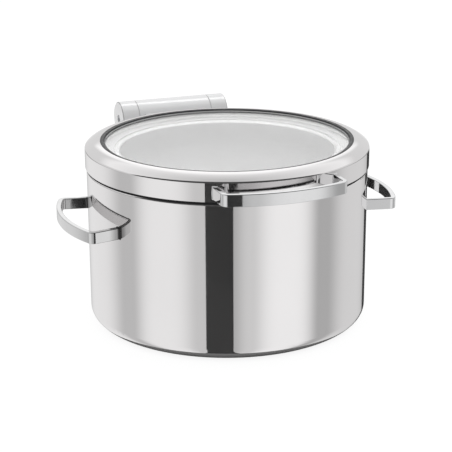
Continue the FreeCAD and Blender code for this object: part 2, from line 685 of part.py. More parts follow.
# Dampers sit in the barrel, their shafts are keyed in the knuckles, and caps close the ends.
DAMPER_END = "(barrel_half - damper_recess)"
DAMPER_START = f"({DAMPER_END} - damper_length)"
SHAFT_BORE_START = f"({DAMPER_START} + damper_floor)"
SHAFT_START = f"({SHAFT_BORE_START} + shaft_end_play)"
SHAFT_END = f"({CAP_START} - key_setback)"
HEAD_START = f"({CAP_START} + cap_thickness - {CAP_RECESS_DEPTH})"
THREAD_START = f"({HEAD_START} - cap_screw_length)"
for side, turn in (("left", "180"), ("right", "0")):
    place = at(AXIS_POINT, turn)
    keep(turned(f"damper_{side}", [
        (DAMPER_START, "0"),
        (SHAFT_BORE_START, "0"),
        (SHAFT_BORE_START, "shaft_radius + shaft_clearance"),
        (DAMPER_END, "shaft_radius + shaft_clearance"),
        (DAMPER_END, f"{BARREL_BORE} - damper_clearance"),
        (DAMPER_START, f"{BARREL_BORE} - damper_clearance"),
    ], "H_Axis", place), f"damper_{side}")
    shaft_round = turned(f"shaft_round_{side}", [
        (SHAFT_START, "0"),
        (THREAD_START, "0"),
        (THREAD_START, "cap_screw_radius + thread_clearance"),
        (SHAFT_END, "cap_screw_radius + thread_clearance"),
        (SHAFT_END, "shaft_radius"),
        (SHAFT_START, "shaft_radius"),
    ], "H_Axis", place)
    reach = f"{KNUCKLE_START} - knuckle_gap / 2" if side == "right" else f"-{CAP_START}"
    key_length = f"{CAP_START} - {KNUCKLE_START} + knuckle_gap / 2"
    key_flats = []
    for name, base in (("over", "shaft_flat"), ("under", "-shaft_flat - shaft_radius")):
        corner = at(f"vector({reach}; {HINGE_REACH} - shaft_radius; {HINGE_HEIGHT} + {base})")
        label = f"key_flat_{name}_{side}"
        key_flats.append(box(label, key_length, "2 * shaft_radius", "shaft_radius", corner))
    flats = group(f"key_flats_{side}", key_flats)
    keep(cut(f"damper_shaft_{side}", shaft_round, flats), f"damper_shaft_{side}")
    keep(turned(f"hinge_cap_{side}", [
        (CAP_START, "cap_screw_radius + hole_clearance"),
        (HEAD_START, "cap_screw_radius + hole_clearance"),
        (HEAD_START, "cap_screw_head + cap_recess_clearance"),
        (f"{CAP_START} + cap_thickness", "cap_screw_head + cap_recess_clearance"),
        (f"{CAP_START} + cap_thickness", "barrel_radius - cap_edge", "cap_edge", "right"),
        (f"{CAP_START} + cap_thickness - cap_edge", "barrel_radius"),
        (CAP_START, "barrel_radius"),
    ], "H_Axis", place), f"hinge_cap_{side}")

cap_screws = []
for side, turn in (("left", "180"), ("right", "0")):
    place = at(AXIS_POINT, turn)
    blank = turned(f"cap_screw_blank_{side}", [
        (THREAD_START, "0"),
        (f"{HEAD_START} + cap_screw_head_height", "0"),
        (f"{HEAD_START} + cap_screw_head_height", "cap_screw_head"),
        (HEAD_START, "cap_screw_head"),
        (HEAD_START, "cap_screw_radius"),
        (THREAD_START, "cap_screw_radius"),
    ], "H_Axis", place)
    socket = doc.addObject("Part::Prism", f"cap_socket_{side}")
    lie = at(f"vector({HEAD_START} + cap_screw_head_height - socket_depth; 0; 0)", "90", "vector(0; 1; 0)")
    bind(socket, Circumradius="socket_radius", Height="socket_depth", Placement=f"{place} * {lie}")
    cap_screws.append(cut(f"cap_screw_{side}", blank, socket))
keep(group("cap_screws", cap_screws), "cap_screws")

doc.recompute()

# Nothing is written unless every object is up to date and every sub-part is a valid solid.
for thing in doc.Objects:
    if "Invalid" in thing.State or "Error" in thing.State:
        raise RuntimeError(f"{thing.Label} failed to build: {thing.State}")
for node in nodes:
    if node.Shape.isNull() or not node.Shape.isValid() or not node.Shape.Solids:
        raise RuntimeError(f"{node.Label} has no valid solid")

os.makedirs("parts", exist_ok=True)
for node in nodes:
    node.Shape.exportStep(f"parts/{node.Label}.step")
    print(node.Label, len(node.Shape.Solids), round(node.Shape.Volume))
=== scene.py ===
# %% [markdown]
# # A soup kettle in mirror-polished steel
# The kettle was drawn in CAD and packed as a fixed frame: every solid arrives as its own mesh, in
# metres, with its body (the kettle or the lid). This lesson dresses that frame. It sets up a light
# tent, gives each piece its finish, and adds the small things that the CAD leaves out, such as soft
# trim and welds.

# %% Load the frame
import math

import bmesh
import bpy
from mathutils import Matrix, Vector


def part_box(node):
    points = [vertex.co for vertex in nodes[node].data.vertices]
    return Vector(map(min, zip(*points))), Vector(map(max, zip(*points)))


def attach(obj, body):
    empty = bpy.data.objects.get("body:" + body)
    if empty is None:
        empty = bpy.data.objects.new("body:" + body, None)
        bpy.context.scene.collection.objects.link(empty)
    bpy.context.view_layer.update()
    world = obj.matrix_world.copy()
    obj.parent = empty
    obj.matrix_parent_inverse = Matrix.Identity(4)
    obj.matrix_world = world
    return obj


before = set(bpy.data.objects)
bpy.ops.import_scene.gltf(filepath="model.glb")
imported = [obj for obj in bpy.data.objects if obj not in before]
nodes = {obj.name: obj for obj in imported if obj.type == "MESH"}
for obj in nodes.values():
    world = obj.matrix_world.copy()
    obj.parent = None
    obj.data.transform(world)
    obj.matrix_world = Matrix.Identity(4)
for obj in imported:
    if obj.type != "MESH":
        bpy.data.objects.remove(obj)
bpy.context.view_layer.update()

# %% [markdown]
# ## The camera
# The photograph was taken with a long lens from a little above the lid. A camera could be aimed
# with a constraint, but a matrix built from the view's own right, up and back directions also takes
# the slight roll of the picture.

# %% Camera
VIEW_TURN = math.radians(-20.3)
VIEW_RISE = math.radians(17.99)
VIEW_ROLL = math.radians(-0.25)
VIEW_DISTANCE = 1.8056
VIEW_TARGET = (-0.0017, 0.0, 0.114)
LENS = 111.2
SENSOR_WIDTH = 36

turn = Matrix.Rotation(VIEW_TURN, 3, "Z")
forward = turn @ Vector((0, math.cos(VIEW_RISE), -math.sin(VIEW_RISE)))
right = turn @ Vector((1, 0, 0))
up = right.cross(forward)
rolled_right = right * math.cos(VIEW_ROLL) + up * math.sin(VIEW_ROLL)
rolled_up = up * math.cos(VIEW_ROLL) - right * math.sin(VIEW_ROLL)
place = turn @ Vector(VIEW_TARGET) - forward * VIEW_DISTANCE

camera_data = bpy.data.cameras.new("camera")
camera_data.sensor_width = SENSOR_WIDTH
camera_data.lens = LENS
camera = bpy.data.objects.new("camera", camera_data)
camera.matrix_world = Matrix((
    (rolled_right.x, rolled_up.x, -forward.x, place.x),
    (rolled_right.y, rolled_up.y, -forward.y, place.y),
    (rolled_right.z, rolled_up.z, -forward.z, place.z),
    (0, 0, 0, 1),
))
bpy.context.scene.collection.objects.link(camera)
bpy.context.scene.camera = camera
bpy.context.scene.view_settings.view_transform = "Standard"
print("camera at", tuple(round(value, 3) for value in place))

# %% [markdown]
# ## Helpers for node trees
# The world and every finish are node trees, and each node takes the same steps: make it, set its
# numbers, link its sockets. In the editor this is done by hand. Here one function does it, and
# three small ones stand on it for sums, ranges and mixes, so that the cells below read like a
# recipe.

# %% Node helpers
def add_node(tree, kind, inputs=None, **settings):
    """A node with its settings, its numbers set and its links made."""
    node = tree.nodes.new(kind)
    for name, value in settings.items():
        setattr(node, name, value)
    for name, value in (inputs or {}).items():
        if isinstance(value, bpy.types.NodeSocket):
            tree.links.new(value, node.inputs[name])
        else:
            node.inputs[name].default_value = value
    return node


def calculate(tree, operation, first, second=0.0):
    """One sum on two numbers or sockets."""
    return add_node(tree, "ShaderNodeMath", {0: first, 1: second}, operation=operation).outputs[0]


def ramp_between(tree, value, low, high, low_to=0.0, high_to=1.0, course="SMOOTHSTEP"):
    """A value carried from one range to another, smoothly unless the course is LINEAR."""
    ranges = {"Value": value, "From Min": low, "From Max": high,
              "To Min": low_to, "To Max": high_to}
    return add_node(tree, "ShaderNodeMapRange", ranges, interpolation_type=course).outputs["Result"]


def mixed(tree, factor, first, second):
    """A number that goes from the first to the second as the factor rises."""
    return add_node(tree, "ShaderNodeMix", {0: factor, 2: first, 3: second},
                    data_type="FLOAT").outputs[0]


# %% [markdown]
# ## The light tent
# A mirror shows its room, so the room is half of this material. Lamps would do for a matt pot, but
# here the world is painted as a tent: two broad softboxes beside the camera and paler cloth round
# the back. Each panel is a compass direction with a width, so the bands run straight up the
# kettle's wall.

# %% A world with a compass
world = bpy.data.worlds.new("light_tent")
bpy.context.scene.world = world
world.use_nodes = True
tent = world.node_tree
tent.nodes.clear()
direction = add_node(tent, "ShaderNodeTexCoord").outputs["Generated"]
parts = add_node(tent, "ShaderNodeSeparateXYZ", {0: direction})
level = add_node(tent, "ShaderNodeCombineXYZ", {"X": parts.outputs["X"], "Y": parts.outputs["Y"]})
compass = add_node(tent, "ShaderNodeVectorMath", {0: level.outputs[0]},
                   operation="NORMALIZE").outputs[0]
print("world", world.name)

# %% Panels of the tent
# Direction from the camera's own side in degrees, to the left negative; half width; soft edge;
# brightness.
PANELS = {
    "left wall": (-95, 76, 30, 0.555),
    "left fill": (-32, 16, 10, 0.64),
    "left softbox": (-54, 15, 15, 0.905),
    "right fill": (27, 15, 8, 0.68),
    "right softbox": (50, 14.5, 16, 0.97),
    "left back cloth": (-133, 20, 20, 0.86),
    "right back cloth": (125, 18, 18, 0.72),
}
GREY_CLOTH = 0.46
CAMERA_SIDE = math.degrees(VIEW_TURN) - 90


def facing(where, bearing):
    """How far a direction points to a bearing: 1 straight at it, 0 square to it."""
    angle = math.radians(CAMERA_SIDE + bearing)
    target = (math.cos(angle), math.sin(angle), 0)
    return add_node(tent, "ShaderNodeVectorMath", {0: where, 1: target},
                    operation="DOT_PRODUCT").outputs["Value"]


def panel_cover(bearing, half, soft):
    """How far a direction lies in a panel: 1 in its middle, 0 outside its soft edge."""
    outer, inner = math.radians(half + soft), math.radians(half - soft)
    return ramp_between(tent, facing(compass, bearing), math.cos(outer), math.cos(inner))


walls = GREY_CLOTH
for name, (bearing, half, soft, brightness) in PANELS.items():
    walls = mixed(tent, panel_cover(bearing, half, soft), walls, brightness)
    print("panel", name, "at", bearing, "degrees, brightness", brightness)

# %% [markdown]
# ## The sky over the lid
# The wall only sees the lower part of the tent. The rounded crown of the lid and the glass see the
# upper part, which has its own brightness by elevation, a bright window at the back and a dark
# front on the camera's side. A picture of a studio could be wrapped round the scene, but with named
# steps each band on the crown is set alone.

# %% Sky
LOW_SKY = 0.75
MIDDLE_SKY = 0.74
HIGH_SKY = 0.97
CEILING = 0.55
BACK_WINDOW = 1.16
FRONT_SKY = 0.07
# Elevations in degrees, over which one part of the sky gives way to the next.
LOW_TO_MIDDLE = (12, 18)
MIDDLE_TO_HIGH = (26, 36)
HIGH_TO_CEILING = (36, 90)
WINDOW_SILL = (14, 17)
WINDOW_TOP = (27, 58)
# The window's bearing, half width and soft edge; how far forward the dark front begins and is full.
WINDOW_PANEL = (181, 9, 7)
FRONT_EDGE = (0.13, 0.28)
elevation = calculate(tent, "ARCSINE", parts.outputs["Z"])


def by_elevation(low, high, low_to=0.0, high_to=1.0, course="SMOOTHSTEP"):
    """A value that changes between two elevations in degrees."""
    return ramp_between(tent, elevation, math.radians(low), math.radians(high),
                        low_to, high_to, course)


high_sky = by_elevation(*HIGH_TO_CEILING, HIGH_SKY, CEILING, "LINEAR")
sky = mixed(tent, by_elevation(*MIDDLE_TO_HIGH), MIDDLE_SKY, high_sky)
sky = mixed(tent, by_elevation(*LOW_TO_MIDDLE), LOW_SKY, sky)
window_height = calculate(tent, "MULTIPLY", by_elevation(*WINDOW_SILL),
                          by_elevation(*WINDOW_TOP, 1.0, 0.0))
window = calculate(tent, "MULTIPLY", window_height, panel_cover(*WINDOW_PANEL))
sky = mixed(tent, window, sky, BACK_WINDOW)
sky = mixed(tent, ramp_between(tent, facing(direction, 0), *FRONT_EDGE), sky, FRONT_SKY)
print("sky nodes:", len(tent.nodes))

# %% [markdown]
# ## Horizon and table
# Where the tent's walls meet the sky there is a darker seam, paler at the back, and straight below
# lies the table, dark towards the camera. They could be planes in the scene, but as bands of the
# world they need no place and throw no shadow. The bands are laid over each other: the walls first,
# then the seam, the sky and the table.

# %% Horizon and table
HORIZON = 0.3
BACK_HORIZON = 0.85
TABLE_FRONT = 0.07
TABLE_SIDE = 0.42
# Elevations in degrees, then panels as bearing, half width and soft edge.
HORIZON_LOW = (-13, -9)
HORIZON_HIGH = (-4, 0)
TABLE_EDGE = (-74, -58)
BACK_PANEL = (180, 22, 12)
TABLE_PANEL = (0, 35, 25)
horizon = mixed(tent, panel_cover(*BACK_PANEL), HORIZON, BACK_HORIZON)
around = mixed(tent, by_elevation(*HORIZON_LOW), walls, horizon)
around = mixed(tent, by_elevation(*HORIZON_HIGH), around, sky)
table = mixed(tent, panel_cover(*TABLE_PANEL), TABLE_SIDE, TABLE_FRONT)
around = mixed(tent, by_elevation(*TABLE_EDGE), table, around)
print("nodes with horizon and table:", len(tent.nodes))

# %% [markdown]
# ## What each kind of ray sees
# One world serves four needs: matt surfaces get soft light from all round, mirrors see the tent,
# rays that passed the glass find a bright even light, and the camera sees white. The Light Path
# node tells the rays apart. Lamps for each need would show up in the mirrors.

# %% Rays
SOFT_LIGHT = 0.95
THROUGH_GLASS = 1.7
WHITE = 1.0


def backdrop(strength):
    """A white background shader of one strength."""
    return add_node(tent, "ShaderNodeBackground",
                    {"Color": (1, 1, 1, 1), "Strength": strength}).outputs[0]


path = add_node(tent, "ShaderNodeLightPath")
shown = backdrop(SOFT_LIGHT)
for ray, strength in (("Is Glossy Ray", around), ("Is Transmission Ray", THROUGH_GLASS),
                      ("Is Camera Ray", WHITE)):
    shown = add_node(tent, "ShaderNodeMixShader",
                     {0: path.outputs[ray], 1: shown, 2: backdrop(strength)}).outputs[0]
add_node(tent, "ShaderNodeOutputWorld", {"Surface": shown})
print("tent nodes:", len(tent.nodes))

# %% [markdown]
# ## Dark cards
# The dark band on the wall and the black patches in the handles are cards that stand close to the
# kettle. Painted on the far world they would sit at one compass direction for every piece; as real
# cards they shift from piece to piece, as they do in the photograph. The front card flares at its
# foot, as the band does. Only mirrors see the cards, so they need no hiding place.

# %% Card helpers
def flat_sheet(name, corners, material):
    """One flat face with a material, linked to the scene."""
    mesh = bpy.data.meshes.new(name)
    mesh.from_pydata(corners, [], [list(range(len(corners)))])
    mesh.materials.append(material)
    sheet = bpy.data.objects.new(name, mesh)
    bpy.context.scene.collection.objects.link(sheet)
    return sheet


def dark_card(name, corners, tone, mirrors=1):
    """A flat card of one dark cloth that is only seen by way of so many mirrors or more."""
    cloth = bpy.data.materials.new(name + "_cloth")
    cloth.use_nodes = True
    tree = cloth.node_tree
    tree.nodes.clear()
    nap = add_node(tree, "ShaderNodeBsdfDiffuse", {"Color": (tone, tone, tone, 1)})
    bounces = add_node(tree, "ShaderNodeLightPath").outputs["Ray Depth"]
    reached = calculate(tree, "GREATER_THAN", bounces, mirrors - 0.5)
    clear = add_node(tree, "ShaderNodeBsdfTransparent")
    seen = add_node(tree, "ShaderNodeMixShader",
                    {0: reached, 1: clear.outputs[0], 2: nap.outputs[0]})
    add_node(tree, "ShaderNodeOutputMaterial", {"Surface": seen.outputs[0]})
    card = flat_sheet(name, corners, cloth)
    card.visible_camera = False
    card.visible_diffuse = False
    card.visible_transmission = False
    card.visible_shadow = False
    print("card", name, "with", len(corners), "corners")


# %% Standing cards
CARD_GREY = 0.058
# Place along Y, then the corners as (across, high).
CARDS = {
    "front_card": (-0.40, [
        (-0.35, -0.80), (-0.07, -0.80), (-0.07, -0.40), (-0.095, -0.32), (-0.109, -0.25),
        (-0.117, -0.18), (-0.120, -0.13), (-0.120, 0.125), (-0.093, 0.135), (-0.093, 0.17),
        (-0.274, 0.17), (-0.274, -0.19), (-0.279, -0.27), (-0.289, -0.36), (-0.307, -0.46),
        (-0.35, -0.58)]),
    "back_card": (0.35, [(0.068, -0.35), (0.63, -0.35), (0.63, 0.10), (0.068, 0.10)]),
    "side_card": (0.12, [(0.1325, 0.06), (0.1455, 0.06), (0.1455, 0.14), (0.1325, 0.14)]),
}
for name, (depth, outline) in CARDS.items():
    dark_card(name, [(across, depth, high) for across, high in outline], CARD_GREY)

# %% [markdown]
# ## Painted shade at the foot
# A thin dark line runs round the wall's lowest edge, where the steel curls under and mirrors the
# kettle's own shadow on what it stands on. The floor could be darker, but then the camera would see
# it. A grey disc of painted shade that only mirrors see lies under the kettle and comes out a
# little towards the camera, where the line is widest.

# %% Painted floor shade
# Painted shade: the grey disc stands in for the kettle's shadow on the floor, and only mirrors see
# it.
FLOOR_SHADE_GREY = 0.3
FLOOR_SHADE_FORWARD = 0.020
FLOOR_SHADE_RADIUS = 0.1632
FLOOR_SHADE_HEIGHT = 0.0004
FLOOR_SHADE_CORNERS = 96


def disc(middle, radius, high, corners):
    """Corners of a flat disc."""
    turns = [step * math.tau / corners for step in range(corners)]
    return [(middle[0] + radius * math.cos(angle), middle[1] + radius * math.sin(angle), high)
            for angle in turns]


front = math.radians(CAMERA_SIDE)
floor_shade_middle = (math.cos(front) * FLOOR_SHADE_FORWARD, math.sin(front) * FLOOR_SHADE_FORWARD)
dark_card("painted_floor_shade", disc(floor_shade_middle, FLOOR_SHADE_RADIUS, FLOOR_SHADE_HEIGHT, FLOOR_SHADE_CORNERS), FLOOR_SHADE_GREY)

# %% [markdown]
# ## A rail beside the left handle
# The inner side of the left handle mirrors the wall, which mirrors what stands beside the kettle,
# and in the photograph this second reflection is grey. A plain card there would also show on the
# wall itself, as a streak. This one only turns grey for rays that have met two mirrors.

# %% Handle rail
RAIL_GREY = 0.26
RAIL_GAP = 0.006
RAIL_LIFT = 0.0004
RAIL_HEIGHT = 0.03
RAIL_HALF = 0.09
handle_low, handle_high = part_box("left_handle")
rail_side = handle_low[0] - RAIL_GAP
rail_low = handle_high[2] + RAIL_LIFT
rail_high = rail_low + RAIL_HEIGHT
dark_card("handle_rail", [(rail_side, -RAIL_HALF, rail_low), (rail_side, RAIL_HALF, rail_low),
                          (rail_side, RAIL_HALF, rail_high), (rail_side, -RAIL_HALF, rail_high)],
          RAIL_GREY, mirrors=2)

# %% [markdown]
# ## The floor
# A real sweep of white paper burns out to white and keeps only a faint contact shadow. The floor
# does the same: it is white cloth under the light, a part of its white is its own glow for the
# camera, and the mirror doesn't see it. From below it is clear, so that the underside can be looked
# at.

# %% White paper
PAPER_WHITE = (0.9, 0.9, 0.9, 1)
GLOW_STRENGTH = 1.10
GLOW_SHARE = 0.8
paper = bpy.data.materials.new("white_paper")
paper.use_nodes = True
sweep = paper.node_tree
sweep.nodes.clear()
matt = add_node(sweep, "ShaderNodeBsdfDiffuse", {"Color": PAPER_WHITE})
glow = add_node(sweep, "ShaderNodeEmission", {"Color": (1, 1, 1, 1), "Strength": GLOW_STRENGTH})
lit = add_node(sweep, "ShaderNodeMixShader",
               {0: GLOW_SHARE, 1: matt.outputs[0], 2: glow.outputs[0]})
eye = add_node(sweep, "ShaderNodeLightPath").outputs["Is Camera Ray"]
seen = add_node(sweep, "ShaderNodeMixShader", {0: eye, 1: matt.outputs[0], 2: lit.outputs[0]})
clear = add_node(sweep, "ShaderNodeBsdfTransparent")
under = add_node(sweep, "ShaderNodeNewGeometry").outputs["Backfacing"]
sided = add_node(sweep, "ShaderNodeMixShader", {0: under, 1: seen.outputs[0], 2: clear.outputs[0]})
add_node(sweep, "ShaderNodeOutputMaterial", {"Surface": sided.outputs[0]})
print("finish", paper.name)

# %% Floor
FLOOR_RADIUS = 6.0
FLOOR_DROP = 0.0005
FLOOR_CORNERS = 64
floor = flat_sheet("floor", disc((0, 0), FLOOR_RADIUS, -FLOOR_DROP, FLOOR_CORNERS), paper)
floor.visible_glossy = False
print("floor radius", FLOOR_RADIUS)

# %% [markdown]
# ## Finishes
# One principled shader per finish. Its numbers stand on the sockets, and only what changes over the
# surface comes in through textures: the roughness of a wiped mirror, the grain of a satin casting,
# the rings of a brushed pot. Images could carry these marks, but noise needs no unwrapping and
# stays sharp at any size.

# %% A finish with its shader
WEAR_SPAN = (0.3, 0.7)


def new_finish(name, **numbers):
    """A material with one principled shader; numbers go on the shader's own sockets."""
    finish = bpy.data.materials.new(name)
    finish.use_nodes = True
    tree = finish.node_tree
    tree.nodes.clear()
    shader = add_node(tree, "ShaderNodeBsdfPrincipled", numbers)
    add_node(tree, "ShaderNodeOutputMaterial", {"Surface": shader.outputs[0]})
    return finish, tree, shader


def noise(tree, where, scale, detail=3.0, roughness=0.5):
    """A cloudy texture between 0 and 1."""
    return add_node(tree, "ShaderNodeTexNoise", {"Vector": where, "Scale": scale, "Detail": detail,
                                                 "Roughness": roughness}).outputs["Fac"]


def roughened(tree, shader, wear, low, high, span=WEAR_SPAN):
    """Roughness from low to high while a wear texture rises through a span."""
    tree.links.new(ramp_between(tree, wear, *span, low, high), shader.inputs["Roughness"])


def bumped(tree, shader, height, strength, distance):
    """A bump that follows a texture."""
    bump = add_node(tree, "ShaderNodeBump",
                    {"Height": height, "Strength": strength, "Distance": distance})
    tree.links.new(bump.outputs[0], shader.inputs["Normal"])


# %% Colours
def grey(tone):
    """Three equal parts of a colour."""
    return tone, tone, tone


def tinted(tree, factor, first, second):
    """A colour between two, by a factor; each of the two is three numbers or a socket."""
    first, second = (colour if isinstance(colour, bpy.types.NodeSocket) else (*colour, 1)
                     for colour in (first, second))
    return add_node(tree, "ShaderNodeMix", {0: factor, 6: first, 7: second},
                    data_type="RGBA").outputs[2]


def coloured(tree, shader, factor, first, second):
    """Base colour between two colours, by a factor."""
    tree.links.new(tinted(tree, factor, first, second), shader.inputs["Base Color"])


# %% [markdown]
# ## Where a texture sits
# Generated coordinates would stretch a texture to each piece's box. The nodes keep the frame's own
# coordinates in metres, so grain has the same size on every piece, and the distance from the
# kettle's axis can be worked out for marks that run round it.

# %% Coordinates
def own_place(tree):
    """The piece's own coordinates, in metres."""
    return add_node(tree, "ShaderNodeTexCoord").outputs["Object"]


def stretched(tree, scale):
    """The piece's own coordinates, stretched by three factors."""
    return add_node(tree, "ShaderNodeMapping",
                    {"Vector": own_place(tree), "Scale": scale}).outputs[0]


def along(tree, axis):
    """One of the piece's own coordinates."""
    return add_node(tree, "ShaderNodeSeparateXYZ", {0: own_place(tree)}).outputs[axis]


def from_axis(tree):
    """Distance from the kettle's axis."""
    flat = add_node(tree, "ShaderNodeCombineXYZ", {"X": along(tree, "X"), "Y": along(tree, "Y")})
    return add_node(tree, "ShaderNodeVectorMath", {0: flat.outputs[0]},
                    operation="LENGTH").outputs["Value"]


def ring_coordinates(tree):
    """Distance from the axis and height, as a vector, for grain that runs round the kettle."""
    return add_node(tree, "ShaderNodeCombineXYZ",
                    {"X": from_axis(tree), "Z": along(tree, "Z")}).outputs[0]


# %% [markdown]
# ### Mirror-polished steel
# The shell and the lid's ring are pressed sheet, polished until they mirror the room. A metal with
# one low roughness would look computed. A cloth leaves smears and the press leaves slow waves, so a
# noise moves roughness and tone a little, and a very weak bump bends the reflections.

# %% Mirror-polished steel
POLISH_SPAN = (0.35, 0.7)
mirror, tree, shader = new_finish("mirror_polished_steel", Metallic=1.0)
smears = noise(tree, own_place(tree), scale=9.0, detail=4.0, roughness=0.6)
roughened(tree, shader, smears, 0.025, 0.06, POLISH_SPAN)
coloured(tree, shader, smears, (0.866, 0.853, 0.854), (0.832, 0.818, 0.819))
waves = noise(tree, stretched(tree, (1, 1, 0.35)), scale=14.0, detail=1.0)
bumped(tree, shader, waves, strength=0.02, distance=0.002)
print("finish", mirror.name)

# %% [markdown]
# ### Polished bar steel
# The handles are bent from flat bar and polished on a belt, so they are a little darker and duller
# than the sheet. In the sheet's finish bar and wall would run into each other. The finish is a
# function, because one handle needs a colour of its own on the same steel.

# %% Polished bar steel of the handles
def bar_finish(name):
    """Belt-polished bar; gives the material, its tree, its shader and the rub marks."""
    finish, tree, shader = new_finish(name, Metallic=1.0)
    rub = noise(tree, own_place(tree), scale=70.0, detail=4.0, roughness=0.6)
    roughened(tree, shader, rub, 0.03, 0.09, POLISH_SPAN)
    unevenness = noise(tree, own_place(tree), scale=45.0, detail=1.0)
    bumped(tree, shader, unevenness, strength=0.03, distance=0.001)
    return finish, tree, shader, rub


bar_steel, tree, shader, rub = bar_finish("polished_bar_steel")
coloured(tree, shader, rub, (0.76, 0.76, 0.765), (0.71, 0.71, 0.715))
print("finish", bar_steel.name)

# %% [markdown]
# ### The left handle, which darkens towards its feet
# In the photograph the left handle turns dark towards the wall, where it mirrors a dark side of the
# room. A card in that narrow gap would show on the wall as well. So the bar steel gets that dark
# reflection painted into its colour, by its distance from the wall: a share of it along the leg and
# the rest close to the foot.
# The wall's radius is measured on the CAD mesh, so it stays right when the drawing changes.

# %% Left handle
# Painted reflection: the dark tone stands in for the dark side of the room mirrored near the feet.
REFLECTION_FAR = 0.016
REFLECTION_NEAR = 0.0045
REFLECTION_FOOT = 0.0022
REFLECTION_SHARE = 0.5
REFLECTION_TONE = 0.05


def distances(name):
    """Distances of a node's corners from the kettle's axis."""
    return [math.hypot(corner.co.x, corner.co.y) for corner in nodes[name].data.vertices]


shell_reach = max(distances("kettle_shell"))
shaded_bar, tree, shader, rub = bar_finish("shaded_bar_steel")
from_wall = calculate(tree, "SUBTRACT", from_axis(tree), shell_reach)
along_leg = ramp_between(tree, from_wall, REFLECTION_NEAR, REFLECTION_FAR, REFLECTION_SHARE, 0.0)
at_foot = ramp_between(tree, from_wall, REFLECTION_FOOT, REFLECTION_NEAR, 1.0 - REFLECTION_SHARE, 0.0)
painted_reflection = calculate(tree, "ADD", along_leg, at_foot)
coloured(tree, shader, painted_reflection, tinted(tree, rub, grey(0.70), grey(0.65)), grey(REFLECTION_TONE))
print("finish", shaded_bar.name, "from the wall at", round(shell_reach, 5))

# %% [markdown]
# ### Satin cast steel
# The hinge is cast and bead-blasted, so it scatters light and hardly mirrors. As a full metal it
# would pick up the dark front of the tent; with a low metallic share it stays pale. A fine grain in
# the roughness is all that shows.

# %% Satin cast steel
def satin_finish(name):
    """Bead-blasted cast steel; gives the material, its tree, its shader and the grain."""
    finish, tree, shader = new_finish(name, Metallic=0.15)
    grain = noise(tree, own_place(tree), scale=600.0, detail=2.0)
    roughened(tree, shader, grain, 0.22, 0.25)
    return finish, tree, shader, grain


satin, tree, shader, grain = satin_finish("satin_cast_steel")
coloured(tree, shader, grain, (0.785, 0.785, 0.79), (0.80, 0.80, 0.805))
print("finish", satin.name)

# %% [markdown]
# ### Hinge caps
# Each cap gets a narrow band of painted shade round the edge of its end face. A strip with a
# material of its own would mean a cut in the CAD mesh, so the finish finds the band by itself: it
# measures how far a spot lies behind the end face and darkens a band less than a millimetre wide.

# %% Satin caps with painted shade round the end face
EDGE_START = 0.0001
EDGE_END = 0.0009
EDGE_FADE = 0.0003
EDGE_SHADE_TONE = 0.33
cap_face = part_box("hinge_cap_right")[1][0]
cap_steel, tree, shader = satin_finish("satin_cap_steel")[:3]
from_face = calculate(tree, "SUBTRACT", cap_face, calculate(tree, "ABSOLUTE", along(tree, "X")))
edge_begun = ramp_between(tree, from_face, EDGE_START, EDGE_START + EDGE_FADE)
edge_left = ramp_between(tree, from_face, EDGE_END, EDGE_END + EDGE_FADE, 1.0, 0.0)
# Painted shade: a dark band just behind each cap's end face.
painted_edge_shade = calculate(tree, "MULTIPLY", edge_begun, edge_left)
coloured(tree, shader, painted_edge_shade, (0.795, 0.795, 0.80), grey(EDGE_SHADE_TONE))
print("cap face at", round(cap_face, 5))

# %% [markdown]
# ### Turned and matt steel
# The base plate is turned on a lathe, and the deck and the ring that clamps the glass are brushed
# matt. Their marks are rings, so the noise gets the distance from the axis in place of a plain
# position, and it stays the same along each ring. The deck has almost no metallic share, or it
# would mirror the dark side of the tent under the glass.

# %% Turned steel of the base plate
base_steel, tree, shader = new_finish("turned_base_steel", Metallic=0.8)
turning = noise(tree, ring_coordinates(tree), scale=900.0)
coloured(tree, shader, turning, (0.62, 0.62, 0.625), (0.74, 0.74, 0.745))
roughened(tree, shader, turning, 0.28, 0.4)
bumped(tree, shader, turning, strength=0.2, distance=0.0002)
print("finish", base_steel.name)

# %% Matt steel of the deck round the inset
RING_SCALE = 1500.0
deck_steel, tree, shader = new_finish("matt_deck_steel", Metallic=0.05)
rings = noise(tree, ring_coordinates(tree), scale=RING_SCALE, detail=2.0)
coloured(tree, shader, rings, grey(0.95), grey(0.98))
roughened(tree, shader, rings, 0.42, 0.54)
print("finish", deck_steel.name)

# %% [markdown]
# ### Blasted steel of the inset
# The inset is blasted matt, and its wall gets painted light that grows paler towards the bottom,
# where light from above collects; its rolled rim is rubbed bright. A lamp in the pot could brighten
# the bottom, but the mirrors would show it, and a rim of its own material would need a cut in the
# mesh. Here tone, roughness and metallic share follow the height.

# %% Blasted steel of the inset
WALL_PALE = 0.148
WALL_FULL = 0.200
PALE_MOST = 0.95
RING_SHARE = 0.15
blasted, tree, shader = new_finish("blasted_inset_steel")
rings = noise(tree, ring_coordinates(tree), scale=RING_SCALE, detail=2.0)
sand = noise(tree, own_place(tree), scale=2200.0, detail=2.0)
bumped(tree, shader, sand, strength=0.1, distance=0.0002)
inset_height = along(tree, "Z")
# Painted light: the wall's tone turns paler towards the bottom, where light from above collects;
# the rings add real grain.
painted_light_and_rings = ramp_between(tree, inset_height, WALL_PALE, WALL_FULL, PALE_MOST, 0.0)
painted_light_and_rings = mixed(tree, ramp_between(tree, rings, *WEAR_SPAN, 0.0, RING_SHARE), painted_light_and_rings, 1.0)
coloured(tree, shader, painted_light_and_rings, grey(0.565), grey(0.82))
print("finish", blasted.name)

